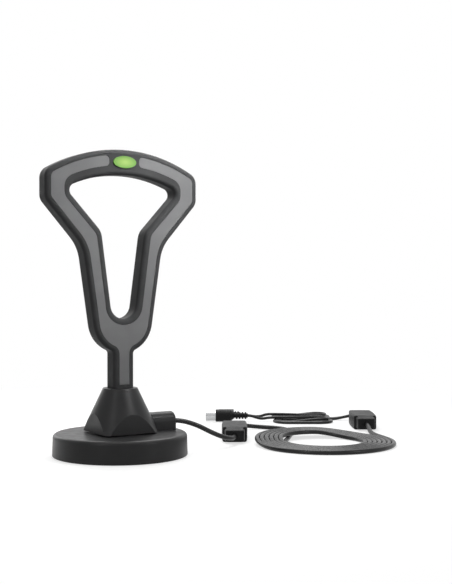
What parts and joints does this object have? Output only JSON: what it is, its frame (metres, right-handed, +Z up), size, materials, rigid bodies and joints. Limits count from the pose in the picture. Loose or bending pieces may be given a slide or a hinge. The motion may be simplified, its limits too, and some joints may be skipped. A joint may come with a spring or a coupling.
{
  "type": "magnetic base tv antenna",
  "caption": "Indoor TV antenna: open loop head on a stem in a flatted cone collar on a round magnetic base, with inline boxes, coiled cords, a flat power plug and an aerial plug.",
  "frame": {"origin": "on the floor under the middle of the round base", "axes": "+Z up along the stem; the loop head lies in the XZ plane with its front towards -Y; the lead leaves the collar along +X"},
  "size_m": [0.3384, 0.2546, 0.2256],
  "materials": {
    "gloss_black": "satin gloss, black",
    "matte_black": "matte, black",
    "shell_grey": "fine matte, dark grey",
    "inlay_grey": "satin, mid grey",
    "badge_green": "gloss, light green",
    "cord_black": "smooth flexible sheath, black",
    "steel": "plain",
    "ferrite": "sintered, dark grey",
    "pad_rubber": "matte foam",
    "copper": "bright copper strip",
    "board_green": "lacquered board",
    "plug_steel": "bright nickel plate",
    "plug_chrome": "polished",
    "contact_gold": "gilt",
    "insulator_white": "plain, white"
  },
  "bodies": {
    "root": {"aerial_cord": "cord_black", "aerial_hank": "cord_black", "aerial_insulator": "insulator_white", "aerial_overmould": "matte_black", "aerial_pin": "plug_chrome", "aerial_plug_cord": "cord_black", "aerial_sleeve": "plug_chrome", "amplifier_board": "board_green", "amplifier_lower_shell": "matte_black", "amplifier_upper_shell": "matte_black", "antenna_element": "copper", "anti_slip_pad": "pad_rubber", "badge": "badge_green", "base_cover": "gloss_black", "base_screws": "steel", "bottom_plate": "steel", "collar": "gloss_black", "collar_screws": "steel", "front_inlay": "inlay_grey", "head_front_shell": "shell_grey", "head_rear_shell": "shell_grey", "inner_lead": "cord_black", "inserter_board": "board_green", "inserter_lower_shell": "matte_black", "inserter_upper_shell": "matte_black", "lead_cord": "cord_black", "loop_cord": "cord_black", "main_coil": "cord_black", "pole_plate": "steel", "ring_magnet": "ferrite", "tail_cord": "cord_black", "usb_contacts": "contact_gold", "usb_cord": "cord_black", "usb_hank": "cord_black", "usb_overmould": "matte_black", "usb_plug_cord": "cord_black", "usb_shell": "plug_steel", "usb_tongue": "insulator_white"}
  },
  "joints": []
}
